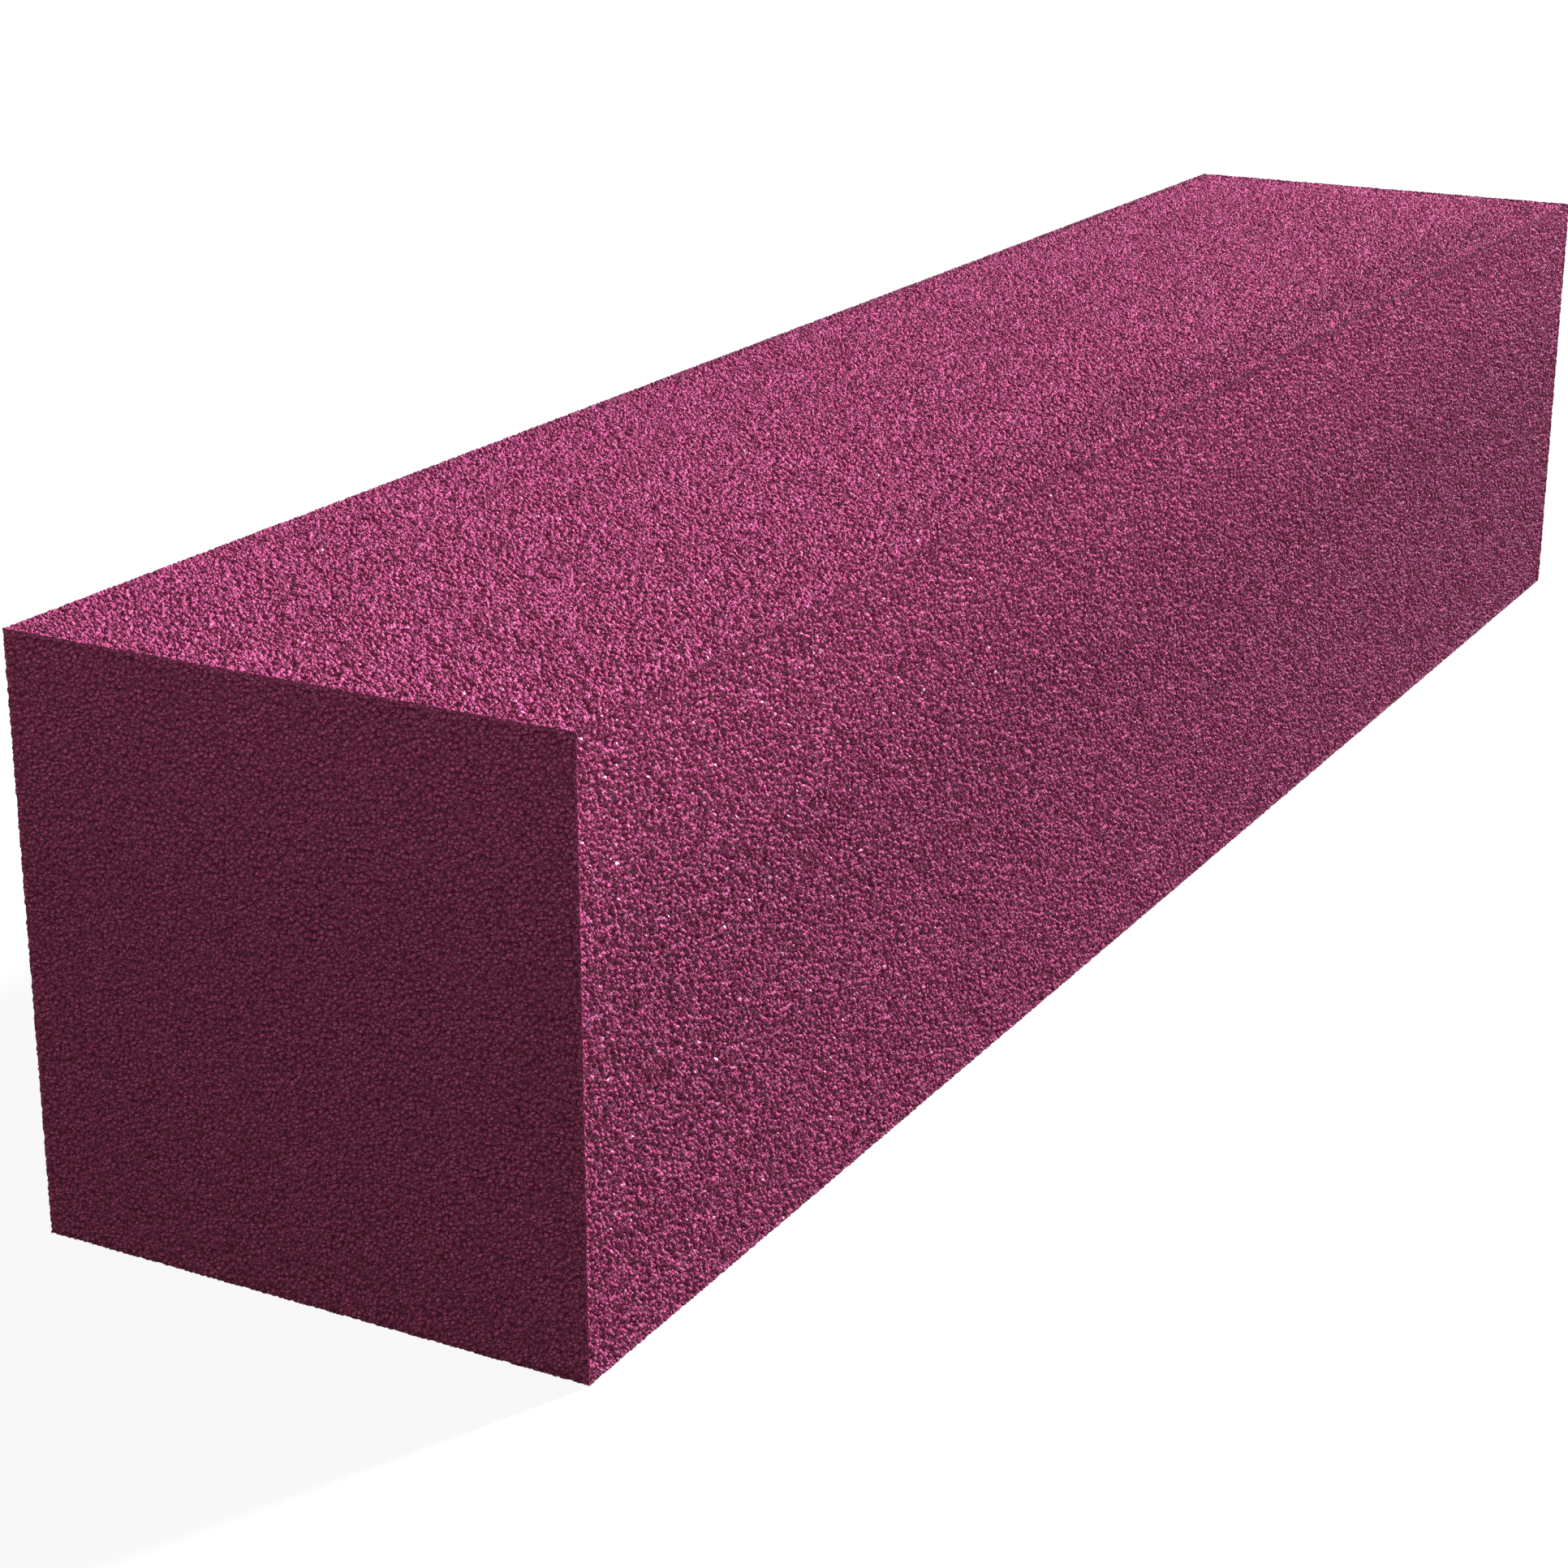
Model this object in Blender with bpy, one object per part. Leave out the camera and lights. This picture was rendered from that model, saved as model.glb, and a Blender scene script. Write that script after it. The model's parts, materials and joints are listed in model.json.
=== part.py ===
"""Moulded rubber balance beam, 1.2 m long, with cast-in steel anchorage.

The beam is pressed upside down in an open box mould. A coloured EPDM granulate skin lines
the mould, so it covers the top, both sides and both ends and leaves the underside open. A
black recycled-rubber core fills the rest. Cast into the core lies a galvanised spine: a
square steel tube with a plastic cap in each end and two plates welded below it. Each plate
carries a threaded M12 socket that opens on the underside, where a plastic plug keeps it
clean until the beam is anchored.

Metres, +Z up. The origin is the middle of the underside, the length runs along Y, and the
front end is the one at -Y.
"""

import math

import bmesh
import bpy
from mathutils import Matrix, Vector

# The beam
BEAM_WIDTH = 0.250
BEAM_HEIGHT = 0.250
BEAM_LENGTH = 1.200
SKIN = 0.012  # thickness of the coloured layer
ARRIS = 0.0015  # radius of the moulded outer edges
ARRIS_STEPS = 3
GAP = 0.0003  # between neighbouring pieces

# The anchorage: two M12 sockets on the centre line
ANCHOR_SPACING = 0.800
SOCKET_LENGTH = 0.036  # a long hexagon nut, three thread diameters high
SOCKET_FLATS = 0.018  # across the flats
SOCKET_BORE = 0.0101  # inside diameter of an M12 thread
SOCKET_LEAD = 0.0013  # countersink at each end of the bore
SOCKET_FACE = 0.97  # width of a flat end face, as a share of SOCKET_FLATS
SOCKET_CHAMFER = math.radians(30)  # slope of the chamfer that rounds the end faces
MOUTH_DEPTH = 0.004  # the socket's mouth lies this far above the ground
MOUTH_DIAMETER = 0.030
MOUTH_CHAMFER = 0.002
PLATE_LENGTH = 0.100  # along the beam
PLATE_WIDTH = 0.080
PLATE_THICKNESS = 0.006
PLATE_CORNER = 0.006

# The spine: square hollow section with a cap in each end
SPINE_SIDE = 0.050
SPINE_WALL = 0.003
SPINE_CORNER = 0.006  # outer corner radius, twice the wall
SPINE_LENGTH = 1.000
CAP_FLANGE = 0.004
CAP_CHAMFER = 0.001
CAP_INSERT = 0.022  # how far a cap reaches into the tube
CAP_CORE = 0.041  # side of the insert between its ribs
CAP_RIBS = 3
RIB_RISE = 0.15  # where a rib reaches its crest, as a share of the ribs' spacing
RIB_FALL = 0.35  # where it leaves its crest

# The socket plugs
PLUG_HEAD = 0.022  # head diameter
PLUG_HEAD_HEIGHT = 0.0025
PLUG_EDGE = 0.0006  # chamfer round the head
PLUG_DISH = 0.0008  # depth of the hollow in the middle of the head
PLUG_DISH_FLOOR = 0.62  # width of that hollow's floor, as a share of the head
PLUG_DISH_RIM = 0.72  # width of its rim
PLUG_SHANK = 0.0088  # shank diameter between its ribs
PLUG_LENGTH = 0.014
PLUG_RIBS = 4
PLUG_TIP = 0.6  # width of the shank's tip, as a share of the shank

ROUND_STEPS = 48  # sides of a turned piece
CORNER_STEPS = 6  # sides of a rounded corner
PAST = 1.1  # how far a turned cutter reaches past a hexagon's corners
SMOOTH_BELOW = math.radians(40)

SOCKET_BASE = MOUTH_DEPTH
PLATE_BASE = SOCKET_BASE + SOCKET_LENGTH + GAP
SPINE_BASE = PLATE_BASE + PLATE_THICKNESS + GAP
SPINE_AXIS = SPINE_BASE + SPINE_SIDE / 2
ENDS = {"front": -1, "rear": 1}

# Colours, linear
RASPBERRY = (0.48, 0.085, 0.215)
TYRE_BLACK = (0.022, 0.022, 0.024)
ZINC_GREY = (0.56, 0.57, 0.58)
CAP_BLACK = (0.02, 0.02, 0.022)
PLUG_GREY = (0.33, 0.34, 0.35)


def clear_scene():
    for old in list(bpy.data.objects):
        bpy.data.objects.remove(old)


def finish(name, colour, roughness, metallic=0.0):
    """A plain Principled material."""
    material = bpy.data.materials.new(name)
    material.use_nodes = True
    shader = material.node_tree.nodes["Principled BSDF"]
    shader.inputs["Base Color"].default_value = (*colour, 1.0)
    shader.inputs["Roughness"].default_value = roughness
    shader.inputs["Metallic"].default_value = metallic
    material.diffuse_color = (*colour, 1.0)
    return material


def add_object(name, mesh_maker):
    """Turns a filled bmesh into an object, with its faces pointing out."""
    bmesh.ops.recalc_face_normals(mesh_maker, faces=mesh_maker.faces)
    mesh = bpy.data.meshes.new(name)
    mesh_maker.to_mesh(mesh)
    mesh_maker.free()
    made = bpy.data.objects.new(name, mesh)
    bpy.context.scene.collection.objects.link(made)
    return made


def add_piece(name, mesh_maker, material, smooth=True):
    piece = add_object(name, mesh_maker)
    piece.data.materials.append(material)
    if smooth:
        piece.data.shade_smooth()
        piece.data.set_sharp_from_angle(angle=SMOOTH_BELOW)
    return piece


def add_cutter(name, mesh_maker):
    """A helper that only shapes its neighbours."""
    cutter = add_object(name, mesh_maker)
    cutter.hide_render = True
    cutter.display_type = "WIRE"
    return cutter


def combine(piece, helper, operation="DIFFERENCE"):
    cut = piece.modifiers.new(helper.name, "BOOLEAN")
    cut.object = helper
    cut.operation = operation
    cut.solver = "EXACT"


def block(width, length, height, base):
    """A box centred on the Z axis, standing at the height base."""
    maker = bmesh.new()
    bmesh.ops.create_cube(maker, size=1.0)
    bmesh.ops.scale(maker, vec=(width, length, height), verts=maker.verts)
    bmesh.ops.translate(maker, vec=(0, 0, base + height / 2), verts=maker.verts)
    return maker


def round_square(side, radius, other_side=None):
    """Outline of a rounded rectangle round the origin, anticlockwise, as (across, up) points."""
    half_across = side / 2 - radius
    half_up = (other_side or side) / 2 - radius
    points = []
    for corner in range(4):
        start = corner * math.pi / 2
        middle_across = half_across if corner in (0, 3) else -half_across
        middle_up = half_up if corner in (0, 1) else -half_up
        for step in range(CORNER_STEPS + 1):
            angle = start + step / CORNER_STEPS * math.pi / 2
            across = middle_across + radius * math.cos(angle)
            points.append((across, middle_up + radius * math.sin(angle)))
    return points


def hexagon(flats):
    radius = flats / math.sqrt(3)
    return [
        (radius * math.cos(math.radians(60 * n)), radius * math.sin(math.radians(60 * n)))
        for n in range(6)
    ]


def bridge(maker, first, second):
    """Joins two rings of the same number of vertices with a band of faces."""
    count = len(first)
    for n in range(count):
        after = (n + 1) % count
        maker.faces.new((first[n], first[after], second[after], second[n]))


def loft(sections):
    """A solid through (outline, height) sections stacked along Z, closed at both ends."""
    maker = bmesh.new()
    rings = [[maker.verts.new((x, y, z)) for x, y in outline] for outline, z in sections]
    for below, above in zip(rings, rings[1:]):
        bridge(maker, below, above)
    maker.faces.new(rings[0])
    maker.faces.new(rings[-1])
    return maker


def circle(radius):
    return [
        (
            radius * math.cos(2 * math.pi * n / ROUND_STEPS),
            radius * math.sin(2 * math.pi * n / ROUND_STEPS),
        )
        for n in range(ROUND_STEPS)
    ]


def turned(profile):
    """A solid of revolution about Z through (radius, height) points, flat at both ends."""
    return loft([(circle(radius), height) for radius, height in profile])


def ribs(count, start, length, low, high):
    """Saw-tooth ribs as (size, position) points: each rises at once and falls away slowly."""
    pitch = length / count
    points = []
    for n in range(count):
        foot = start + n * pitch
        points.append((low, foot))
        points.append((high, foot + pitch * RIB_RISE))
        points.append((high, foot + pitch * RIB_FALL))
    points.append((low, start + length))
    return points


def lay_along_beam(maker):
    """Turns a solid made along Z so that it runs along Y, with its Y axis pointing down."""
    turn = Matrix.Rotation(math.radians(-90), 3, "X")
    bmesh.ops.rotate(maker, cent=(0, 0, 0), matrix=turn, verts=maker.verts)
    return maker


def make_skin(material):
    """Five-sided shell with rounded arrises, open below, its lower rim on the ground."""
    maker = block(BEAM_WIDTH, BEAM_LENGTH, BEAM_HEIGHT, 0)
    above_ground = [e for e in maker.edges if max(v.co.z for v in e.verts) > BEAM_HEIGHT / 2]
    bmesh.ops.bevel(
        maker,
        geom=above_ground,
        offset=ARRIS,
        segments=ARRIS_STEPS,
        profile=0.5,
        affect="EDGES",
    )
    skin = add_piece("epdm_skin", maker, material)
    below = SKIN  # the hollow's cutter starts this far under the ground
    hollow = block(
        BEAM_WIDTH - 2 * SKIN, BEAM_LENGTH - 2 * SKIN, BEAM_HEIGHT - SKIN + below, -below
    )
    combine(skin, add_cutter("cutter_skin_hollow", hollow))
    return skin


def make_core(material):
    """The block that fills the skin, cast round the spine, the plates and the sockets."""
    clear = 2 * (SKIN + GAP)
    maker = block(BEAM_WIDTH - clear, BEAM_LENGTH - clear, BEAM_HEIGHT - SKIN - GAP, 0)
    core = add_piece("sbr_core", maker, material)

    reach = SPINE_LENGTH / 2 + GAP + CAP_FLANGE + GAP
    outline = round_square(SPINE_SIDE + 2 * GAP, SPINE_CORNER + GAP)
    spine_pocket = lay_along_beam(loft([(outline, -reach), (outline, reach)]))
    cutter = add_cutter("cutter_spine_pocket", spine_pocket)
    cutter.location.z = SPINE_AXIS
    combine(core, cutter)

    for end, side in ENDS.items():
        place = Vector((0, side * ANCHOR_SPACING / 2, 0))
        around = round_square(
            PLATE_WIDTH + 2 * GAP, PLATE_CORNER + GAP, PLATE_LENGTH + 2 * GAP
        )
        into_spine = SPINE_BASE + SPINE_WALL  # the pocket runs into the spine's own
        plate_pocket = loft([(around, PLATE_BASE - GAP), (around, SPINE_BASE - GAP / 3)])
        hex_pocket = loft(
            [
                (hexagon(SOCKET_FLATS + 2 * GAP), MOUTH_DEPTH / 2),
                (hexagon(SOCKET_FLATS + 2 * GAP), into_spine),
            ]
        )
        mouth = turned(
            [
                (MOUTH_DIAMETER / 2 + 2 * MOUTH_CHAMFER, -MOUTH_CHAMFER),
                (MOUTH_DIAMETER / 2, MOUTH_CHAMFER),
                (MOUTH_DIAMETER / 2, MOUTH_DEPTH),
            ]
        )
        for name, shape in (
            ("plate", plate_pocket),
            ("socket", hex_pocket),
            ("mouth", mouth),
        ):
            cutter = add_cutter(f"cutter_{name}_{end}", shape)
            cutter.location = place
            combine(core, cutter)
    return core


def make_spine(material):
    """Square hollow section, open at both ends."""
    maker = bmesh.new()
    inside_side = SPINE_SIDE - 2 * SPINE_WALL
    outlines = (
        round_square(SPINE_SIDE, SPINE_CORNER),
        round_square(inside_side, SPINE_CORNER - SPINE_WALL),
    )
    rings = [
        [[maker.verts.new((x, y, z)) for x, y in outline] for outline in outlines]
        for z in (-SPINE_LENGTH / 2, SPINE_LENGTH / 2)
    ]
    (low_outer, low_inner), (high_outer, high_inner) = rings
    bridge(maker, low_outer, high_outer)
    bridge(maker, high_outer, high_inner)
    bridge(maker, high_inner, low_inner)
    bridge(maker, low_inner, low_outer)
    spine = add_piece("spine_tube", lay_along_beam(maker), material)
    spine.location.z = SPINE_AXIS
    return spine


def make_spine_cap(end, material):
    """Push-in cap: a square flange outside the tube and a ribbed insert inside it."""
    inside_side = SPINE_SIDE - 2 * SPINE_WALL
    rib_side = inside_side - 2 * GAP
    inside_radius = SPINE_CORNER - SPINE_WALL
    teeth = ribs(CAP_RIBS, -CAP_INSERT, CAP_INSERT - CAP_CHAMFER, CAP_CORE, rib_side)
    sections = [(round_square(side, inside_radius), z) for side, z in teeth]
    sections.append((round_square(CAP_CORE, inside_radius), GAP))
    for side, z in (
        (SPINE_SIDE, GAP),
        (SPINE_SIDE, GAP + CAP_FLANGE - CAP_CHAMFER),
        (SPINE_SIDE - 2 * CAP_CHAMFER, GAP + CAP_FLANGE),
    ):
        sections.append((round_square(side, SPINE_CORNER), z))
    cap = add_piece(f"spine_cap_{end}", lay_along_beam(loft(sections)), material)
    cap.location = (0, ENDS[end] * SPINE_LENGTH / 2, SPINE_AXIS)
    cap.rotation_euler.z = 0 if ENDS[end] > 0 else math.pi
    return cap


def make_plate(end, material):
    """Flat plate across the spine that spreads the anchor's pull into the rubber."""
    outline = round_square(PLATE_WIDTH, PLATE_CORNER, PLATE_LENGTH)
    plate = add_piece(
        f"anchor_plate_{end}", loft([(outline, 0), (outline, PLATE_THICKNESS)]), material
    )
    plate.location = (0, ENDS[end] * ANCHOR_SPACING / 2, PLATE_BASE)
    return plate


def make_socket(end, material):
    """Long hexagon nut with chamfered corners and a countersunk bore through it."""
    corner_radius = SOCKET_FLATS / math.sqrt(3)
    flat_radius = SOCKET_FLATS / 2 * SOCKET_FACE
    outline = hexagon(SOCKET_FLATS)
    socket = add_piece(
        f"anchor_socket_{end}", loft([(outline, 0), (outline, SOCKET_LENGTH)]), material
    )
    outer_radius = corner_radius * PAST
    drop = (outer_radius - flat_radius) * math.tan(SOCKET_CHAMFER)
    chamfers = turned(
        [
            (flat_radius, 0),
            (outer_radius, drop),
            (outer_radius, SOCKET_LENGTH - drop),
            (flat_radius, SOCKET_LENGTH),
        ]
    )
    past = SOCKET_LEAD  # the bore's cutter runs out of both ends by this
    wide = SOCKET_BORE / 2 + SOCKET_LEAD
    bore = turned(
        [
            (wide + past, -past),
            (SOCKET_BORE / 2, SOCKET_LEAD),
            (SOCKET_BORE / 2, SOCKET_LENGTH - SOCKET_LEAD),
            (wide + past, SOCKET_LENGTH + past),
        ]
    )
    place = (0, ENDS[end] * ANCHOR_SPACING / 2, SOCKET_BASE)
    socket.location = place
    for name, shape, operation in (
        ("chamfers", chamfers, "INTERSECT"),
        ("bore", bore, "DIFFERENCE"),
    ):
        cutter = add_cutter(f"cutter_{name}_{end}", shape)
        cutter.location = place
        combine(socket, cutter, operation)
    return socket


def make_plug(end, material):
    """Blanking plug: a dished head under the socket's mouth and a ribbed shank inside it."""
    head = PLUG_HEAD / 2
    bottom = -PLUG_HEAD_HEIGHT - GAP
    rib_radius = SOCKET_BORE / 2 - GAP
    profile = [
        (head * PLUG_DISH_FLOOR / 2, bottom + PLUG_DISH),
        (head * PLUG_DISH_FLOOR, bottom + PLUG_DISH),
        (head * PLUG_DISH_RIM, bottom),
        (head - PLUG_EDGE, bottom),
        (head, bottom + PLUG_EDGE),
        (head, -GAP - PLUG_EDGE),
        (head - PLUG_EDGE, -GAP),
        (PLUG_SHANK / 2, -GAP),
    ]
    teeth = ribs(PLUG_RIBS, SOCKET_LEAD, PLUG_LENGTH, PLUG_SHANK / 2, rib_radius)
    profile += teeth
    tip = SOCKET_LEAD + PLUG_LENGTH
    profile.append((PLUG_SHANK / 2 * PLUG_TIP, tip + PLUG_SHANK / 4))
    plug = add_piece(f"socket_plug_{end}", turned(profile), material)
    plug.location = (0, ENDS[end] * ANCHOR_SPACING / 2, SOCKET_BASE)
    return plug


def main():
    clear_scene()
    epdm = finish("epdm_granulate", RASPBERRY, 0.55)
    sbr = finish("sbr_granulate", TYRE_BLACK, 0.75)
    zinc = finish("galvanised_steel", ZINC_GREY, 0.42, 1.0)
    black_plastic = finish("polyethylene_black", CAP_BLACK, 0.5)
    grey_plastic = finish("polyethylene_grey", PLUG_GREY, 0.45)

    make_skin(epdm)
    make_core(sbr)
    make_spine(zinc)
    for end in ENDS:
        make_spine_cap(end, black_plastic)
        make_plate(end, zinc)
        make_socket(end, zinc)
        make_plug(end, grey_plastic)


main()
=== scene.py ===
"""Looks for the moulded rubber balance beam.

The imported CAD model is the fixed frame. The coloured skin and the black core are rebuilt
here as fine meshes with real granule relief; the steel and plastic parts stay as packed
and get their finishes. Relief and colour come from one granule pattern, which is built as
nodes twice: in a geometry tree that moves the vertices and in the shader that colours them.
"""

import json
import math

import bmesh
import bpy
import numpy as np
from mathutils import Matrix, Vector


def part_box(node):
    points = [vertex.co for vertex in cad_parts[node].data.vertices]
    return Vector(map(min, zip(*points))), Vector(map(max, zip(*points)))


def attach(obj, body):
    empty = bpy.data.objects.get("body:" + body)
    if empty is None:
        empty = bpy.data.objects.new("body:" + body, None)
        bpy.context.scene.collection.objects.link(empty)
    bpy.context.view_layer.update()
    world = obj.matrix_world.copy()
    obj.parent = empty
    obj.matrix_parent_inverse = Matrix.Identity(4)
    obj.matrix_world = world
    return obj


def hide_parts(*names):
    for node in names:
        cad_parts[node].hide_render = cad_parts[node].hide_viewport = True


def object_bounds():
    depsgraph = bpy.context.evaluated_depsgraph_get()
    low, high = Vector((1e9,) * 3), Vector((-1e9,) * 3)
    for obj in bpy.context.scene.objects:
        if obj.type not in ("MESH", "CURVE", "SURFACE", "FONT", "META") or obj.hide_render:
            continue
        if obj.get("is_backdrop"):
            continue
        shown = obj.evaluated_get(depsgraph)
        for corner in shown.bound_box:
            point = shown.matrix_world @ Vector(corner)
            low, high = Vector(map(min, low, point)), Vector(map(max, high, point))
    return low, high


# Fine meshes, in metres
SKIN_STEP = 0.0007  # mesh spacing on the skin
CORE_STEP = 0.0010  # mesh spacing on the core's underside
ARRIS = 0.0009  # radius of the moulded edges
ARRIS_STEPS = 2  # mesh steps on each side of an arris
ARRIS_BAND = 0.003  # width along the arrises where the relief fades
ARRIS_RELIEF = 0.25  # share of the relief left on the arris itself
SEAM_INSET = 0.0030  # mould seam, from the long arrises of the top
SEAM_WIDTH = 0.0014  # from its middle to its shoulders
SEAM_DEPTH = 0.0006
BOND_HEIGHT = 0.008  # above this the line between skin and core is straight
BOND_GAP = 0.0002  # between skin and core
BOND_STRAY = 0.0011  # how far that line strays on the underside
BOND_WAVES = ((0.071, 0.5), (0.023, 0.35), (0.0093, 0.3), (0.0041, 0.2))  # lengths, shares
BOND_CORNER = 0.02  # this close to a corner the line strays less
CORE_INSET = 0.00005  # keeps the core's fine shell off the planes of its CAD solid

# Colours, linear
RASPBERRY_DEEP = (0.73, 0.121, 0.320)
RASPBERRY_PALE = (0.80, 0.138, 0.367)
# painted shade: the colour of the shade in the pores between the granules
RASPBERRY_PORE_SHADE = (0.085, 0.016, 0.034)
SBR_DARK = (0.010, 0.010, 0.011)
SBR_PALE = (0.040, 0.040, 0.043)
ZINC_DARK = (0.40, 0.42, 0.44)
ZINC_PALE = (0.62, 0.63, 0.64)
ZINC_BLOOM = (0.66, 0.67, 0.67)
CAP_BLACK = (0.022, 0.022, 0.024)
PLUG_GREY = (0.34, 0.35, 0.36)
WHITE = (1.0, 1.0, 1.0)
KEY_COLOUR = (1.0, 0.90, 1.05)
FILL_COLOUR = (1.0, 1.18, 0.96)  # tint of the surround and of the floor's light

# Painted light and shade on the skin, a darker band and the binder film: distances in metres,
# and brightness as a share of the colour
FACE_EDGE = (0.006, 0.002)  # from an arris, where one face's look gives way to the next's
LOW_SIDE = 0.75  # brightness of the lower part of the sides, painted shade as the light falls
LOW_END = 0.88  # and of the ends
LOW_BELOW = (0.11, 0.015)  # below the top, where that painted shade fades out
REAR_SIDE = 0.88  # brightness of the sides at the rear end, painted shade
REAR_TOP = 1.12  # and of the top, painted light
REAR_FROM = (0.16, 0.04)  # from the rear end, where the painted light on the top begins
BAND_INSIDE = (0.050, 0.035)  # from the right arris, where the darker band on the top begins
BAND_OUTSIDE = (0.009, 0.014)  # and where it ends
BAND_DARK = 0.15  # how much darker the band is
DARKENING_FROM = 0.1  # from the front end, where the band starts to show and the seam's painted shade starts to deepen
SEAM_SHADE = (0.15, 0.35)  # how much darker the seam is painted, as shade in its groove, in front and behind
FOOT_REACH = 0.003  # height of the line of painted shade along the bottom edges, where the beam meets the floor
FOOT_SHADE = 0.4  # how much darker that line is at the ground
FILM_EDGE = (0.003, 0.005)  # from an arris, where the binder film begins

# Light
KEY_ENERGY = 7.3
KEY_ANGLE = math.radians(3)
KEY_FROM = (0.357, 0.805, 0.474)  # direction towards the key light
AMBIENT = 0.27  # brightness of the surround
REFLECTED = 0.03  # brightness of the dark studio that glossy facets mirror
FLOOR_GLOW = 0.45  # light that the floor sends up to the object
FLOOR_GREY = 0.1  # and how much it reflects
FLOOR_SEEN_GREY = 0.08  # share of the floor's look that takes shadows
FLOOR_SEEN_GLOW = 0.92  # and the rest, which does not
FLOOR_REACH = 30.0  # from its middle to its edges, in metres
FLOOR_DROP = 0.0002  # below the object's lowest point

# Camera, in widths of the beam from the middle of its front end's bottom edge
CAMERA_LENS = 75.35
CAMERA_ACROSS = 2.729
CAMERA_BACK = 3.5364
CAMERA_UP = 2.4115
CAMERA_FORWARD = (-0.4481, 0.8287, -0.3355)
CAMERA_ROLL = math.radians(0.11)


# Nodes -------------------------------------------------------------------------------


class Nodes:
    """Adds nodes to a shader tree or a geometry tree, laid out in a row."""

    def __init__(self, tree):
        self.tree = tree
        self.count = 0

    def add(self, kind, **settings):
        node = self.tree.nodes.new(kind)
        self.count += 1
        node.location = (180 * self.count, 0)
        for key, value in settings.items():
            setattr(node, key, value)
        return node

    def feed(self, socket, value):
        """Links a socket, or sets a plain value."""
        if isinstance(value, bpy.types.NodeSocket):
            self.tree.links.new(value, socket)
        elif isinstance(value, (tuple, list, Vector)) and socket.type == "RGBA":
            socket.default_value = (*value[:3], 1.0)
        else:
            socket.default_value = value

    def maths(self, operation, first, second=0.0):
        node = self.add("ShaderNodeMath", operation=operation)
        self.feed(node.inputs[0], first)
        self.feed(node.inputs[1], second)
        return node.outputs[0]

    def vector(self, operation, first, second=(0.0, 0.0, 0.0)):
        node = self.add("ShaderNodeVectorMath", operation=operation)
        self.feed(node.inputs[0], first)
        self.feed(node.inputs[1], second)
        return node.outputs["Value" if operation in ("DOT_PRODUCT", "LENGTH") else "Vector"]

    def scaled(self, vector, factor):
        node = self.add("ShaderNodeVectorMath", operation="SCALE")
        self.feed(node.inputs[0], vector)
        self.feed(node.inputs["Scale"], factor)
        return node.outputs["Vector"]

    def split(self, vector):
        node = self.add("ShaderNodeSeparateXYZ")
        self.feed(node.inputs[0], vector)
        return node.outputs

    def ramp(self, value, low, high, to_low=0.0, to_high=1.0, smooth=True):
        """Maps low..high to to_low..to_high, clamped."""
        node = self.add("ShaderNodeMapRange")
        node.interpolation_type = "SMOOTHSTEP" if smooth else "LINEAR"
        for name, number in (
            ("Value", value),
            ("From Min", low),
            ("From Max", high),
            ("To Min", to_low),
            ("To Max", to_high),
        ):
            self.feed(node.inputs[name], number)
        return node.outputs["Result"]

    def noise(self, position, scale, detail=2.0, roughness=0.5, colour=False):
        node = self.add("ShaderNodeTexNoise", noise_dimensions="3D")
        self.feed(node.inputs["Vector"], position)
        self.feed(node.inputs["Scale"], scale)
        self.feed(node.inputs["Detail"], detail)
        self.feed(node.inputs["Roughness"], roughness)
        return node.outputs["Color" if colour else "Fac"]

    def voronoi(self, places, feature="F1"):
        node = self.add("ShaderNodeTexVoronoi", voronoi_dimensions="3D", feature=feature)
        self.feed(node.inputs["Vector"], places)
        self.feed(node.inputs["Scale"], 1.0)
        return node.outputs

    def mix(self, factor, first, second):
        node = self.add("ShaderNodeMix", data_type="RGBA")
        self.feed(node.inputs["Factor"], factor)
        colours = [socket for socket in node.inputs if socket.type == "RGBA"]
        self.feed(colours[0], first)
        self.feed(colours[1], second)
        return [socket for socket in node.outputs if socket.type == "RGBA"][0]

    def bump(self, height, strength=1.0):
        """A normal from a height in metres."""
        node = self.add("ShaderNodeBump")
        node.inputs["Strength"].default_value = strength
        node.inputs["Distance"].default_value = 1.0
        self.feed(node.inputs["Height"], height)
        return node.outputs["Normal"]


class Granulate:
    """One grade of bound granules: how large they are and how they lie in the surface."""

    def __init__(self, size, relief, tilt, dome, pit, gap=0.22, warp=0.30):
        self.size = size  # spacing of the granules in the solid
        self.relief = relief  # how deep the pores between granules are
        self.tilt = tilt  # slope of the most tilted granule
        self.dome = dome  # how round each granule's top is
        self.pit = pit  # how far the most sunken granule lies below the highest
        self.gap = gap  # share of a granule over which its shoulder rounds off
        self.warp = warp  # how far granules are from plain Voronoi cells


WANDER_SCALE = 1.6  # how fast the granules' outlines wander, per granule
TILT_DROP = 0.4  # how far a tilted granule sinks, as a share of its slope
SUNK_FROM = 0.25  # share of the granules that are not sunk at all
DEEPEST = 3  # deepest relief, in depths of a pore

EPDM = Granulate(size=0.0018, relief=0.0007, tilt=0.3, dome=1.5, pit=0.0001)
SBR = Granulate(size=0.0034, relief=0.0009, tilt=0.5, dome=0.5, pit=0.0006)
EPDM_CHIP = 0.0010  # size of the chipped facets on an EPDM granule
EPDM_CHIP_TILT = 1.4  # slope of the most tilted facet
EPDM_SHADES = (0.91, 1.05)  # brightness of its dullest and its brightest facet
EPDM_PORE_SHADE = 0.4  # share of the painted pore shade where a pore is fully open
EPDM_FILMED = 0.16  # share of its facets that glint at the front end
EPDM_FILM_REACH = 0.42  # distance from the front end over which that share fades to none
SBR_CHIP = 0.0014
SBR_CHIP_TILT = 0.8
# share of painted shade in the open pores between the black granules
SBR_PORE_SHADE = 0.7
SBR_ROUGHNESS = (0.62, 0.90)  # of its shiniest and its dullest granule

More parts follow.
